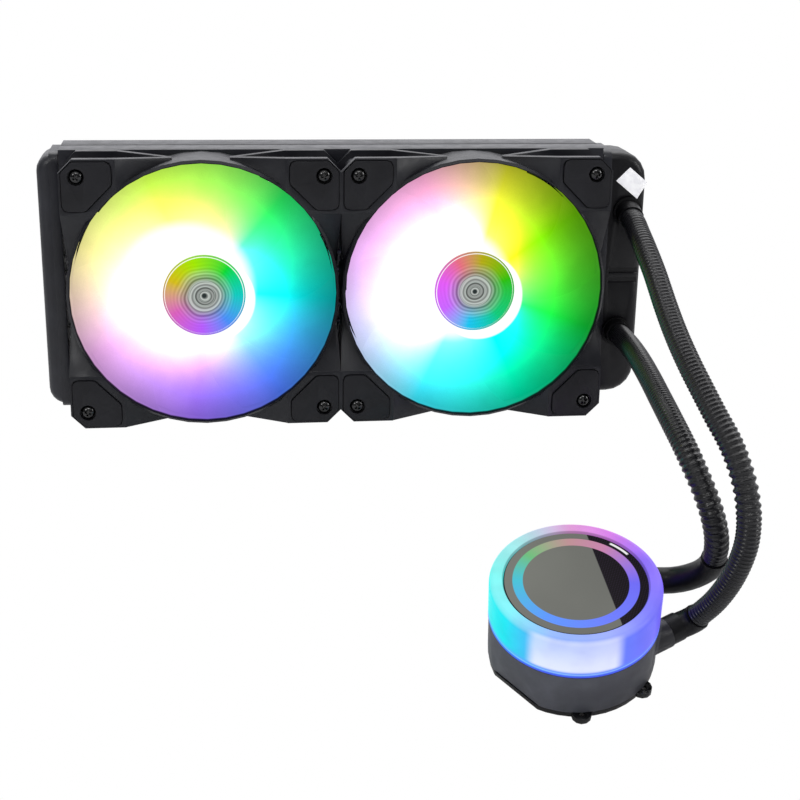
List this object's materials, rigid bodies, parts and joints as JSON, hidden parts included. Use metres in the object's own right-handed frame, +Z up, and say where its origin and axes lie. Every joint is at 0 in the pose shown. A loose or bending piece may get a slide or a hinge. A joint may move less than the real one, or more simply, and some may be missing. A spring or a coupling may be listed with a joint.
{
  "type": "all in one liquid cooler",
  "caption": "Closed-loop processor cooler: slim finned radiator with lit fans on its front, joined by two ribbed hoses to a round pump block with a lit ring.",
  "frame": {"origin": "middle of the rear face of the radiator's lower side channel, at the height of its screw holes", "axes": "+X along the radiator towards the hose tank, -Y the side of the fans, +Z up the radiator"},
  "size_m": [0.2928, 0.177, 0.2136],
  "materials": {
    "black_plastic": "satin moulded",
    "black_paint": "satin powder coat",
    "black_rubber": "matt",
    "hose_sleeve": "ribbed satin sleeve",
    "black_steel": "glossy black",
    "frosted_plastic": "frosted translucent",
    "diffuser_plastic": "frosted translucent",
    "dark_gloss_plastic": "polished dark mirror",
    "steel": "ground",
    "magnet_ferrite": "sintered",
    "bronze": "sintered",
    "copper": "ground",
    "winding_wire": "enamelled wire",
    "circuit_board": "solder mask"
  },
  "bodies": {
    "cooler": {"inner_hose": "hose_sleeve", "left_fan_bearing": "bronze", "left_fan_circuit_board": "circuit_board", "left_fan_frame": "black_plastic", "left_fan_pad_bottom_left": "black_rubber", "left_fan_pad_bottom_right": "black_rubber", "left_fan_pad_top_left": "black_rubber", "left_fan_pad_top_right": "black_rubber", "left_fan_screw_bottom_left": "black_steel", "left_fan_screw_bottom_right": "black_steel", "left_fan_screw_top_left": "black_steel", "left_fan_screw_top_right": "black_steel", "left_fan_stator": "winding_wire", "outer_hose": "hose_sleeve", "pump_bracket": "black_steel", "pump_circuit_board": "circuit_board", "pump_cold_plate": "copper", "pump_diffuser_ring": "diffuser_plastic", "pump_front_fitting": "black_plastic", "pump_housing": "black_plastic", "pump_light_guide": "diffuser_plastic", "pump_rear_fitting": "black_plastic", "pump_rotor_can": "black_plastic", "pump_seal": "black_rubber", "pump_shaft": "steel", "pump_stator": "winding_wire", "pump_top_disc": "dark_gloss_plastic", "radiator_bottom_channel": "black_paint", "radiator_core": "black_paint", "radiator_end_tank": "black_paint", "radiator_hose_tank": "black_paint", "radiator_left_header": "black_paint", "radiator_lower_port": "black_plastic", "radiator_right_header": "black_paint", "radiator_top_channel": "black_paint", "radiator_upper_port": "black_plastic", "right_fan_bearing": "bronze", "right_fan_circuit_board": "circuit_board", "right_fan_frame": "black_plastic", "right_fan_pad_bottom_left": "black_rubber", "right_fan_pad_bottom_right": "black_rubber", "right_fan_pad_top_left": "black_rubber", "right_fan_pad_top_right": "black_rubber", "right_fan_screw_bottom_left": "black_steel", "right_fan_screw_bottom_right": "black_steel", "right_fan_screw_top_left": "black_steel", "right_fan_screw_top_right": "black_steel", "right_fan_stator": "winding_wire"},
    "left_fan_rotor": {"left_fan_rotor": "frosted_plastic", "left_fan_hub_cap": "black_plastic", "left_fan_shaft": "steel", "left_fan_magnet": "magnet_ferrite"},
    "right_fan_rotor": {"right_fan_rotor": "frosted_plastic", "right_fan_hub_cap": "black_plastic", "right_fan_shaft": "steel", "right_fan_magnet": "magnet_ferrite"},
    "impeller": {"pump_impeller": "magnet_ferrite"}
  },
  "joints": [
    {"name": "left_fan_spin", "type": "hinge", "parent": "cooler", "child": "left_fan_rotor", "pos_m": [-0.06, -0.0398, 0.0525], "axis": [0, -1, 0], "continuous": true},
    {"name": "right_fan_spin", "type": "hinge", "parent": "cooler", "child": "right_fan_rotor", "pos_m": [0.06, -0.0398, 0.0525], "axis": [0, -1, 0], "continuous": true},
    {"name": "impeller_spin", "type": "hinge", "parent": "cooler", "child": "impeller", "pos_m": [0.09221, -0.13356, -0.07728], "axis": [-0.0729, -0.3107, 0.9477], "continuous": true}
  ]
}
